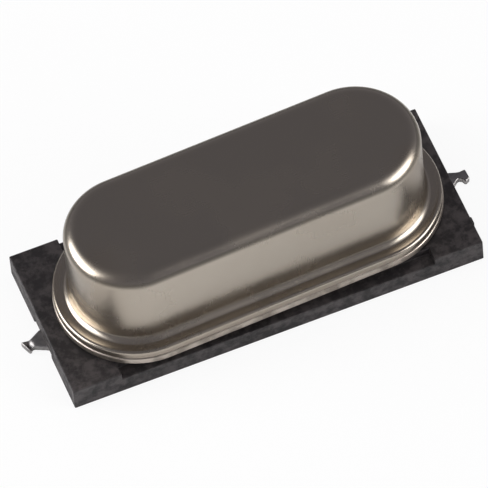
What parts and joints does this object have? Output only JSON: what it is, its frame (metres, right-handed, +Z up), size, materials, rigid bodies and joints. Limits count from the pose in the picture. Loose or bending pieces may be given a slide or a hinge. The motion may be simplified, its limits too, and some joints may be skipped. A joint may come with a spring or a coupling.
{
  "type": "quartz crystal resonator",
  "caption": "Low metal-can quartz crystal on a black moulded plate, with flat leads at both ends for surface mounting.",
  "frame": {"origin": "on the board plane, under the middle of the part", "axes": "+X along the can from the left lead to the right one, +Z up from the board, -Y towards the front long side"},
  "size_m": [0.013, 0.0048, 0.0041],
  "materials": {
    "moulded_plate": "matte",
    "can_metal": "satin",
    "header_metal": "satin",
    "seal_glass": "gloss",
    "lead_metal": "satin",
    "spring_metal": "satin",
    "quartz": "gloss",
    "silver_film": "gloss",
    "bonding_paste": "matte"
  },
  "bodies": {
    "root": {"insulator_plate": "moulded_plate", "cover": "can_metal", "header": "header_metal", "glass_seal_left": "seal_glass", "glass_seal_right": "seal_glass", "lead_left": "lead_metal", "lead_right": "lead_metal", "spring_clip_left": "spring_metal", "spring_clip_right": "spring_metal", "quartz_blank": "quartz", "electrode_front": "silver_film", "electrode_back": "silver_film", "bonding_dot_left": "bonding_paste", "bonding_dot_right": "bonding_paste"}
  },
  "joints": []
}
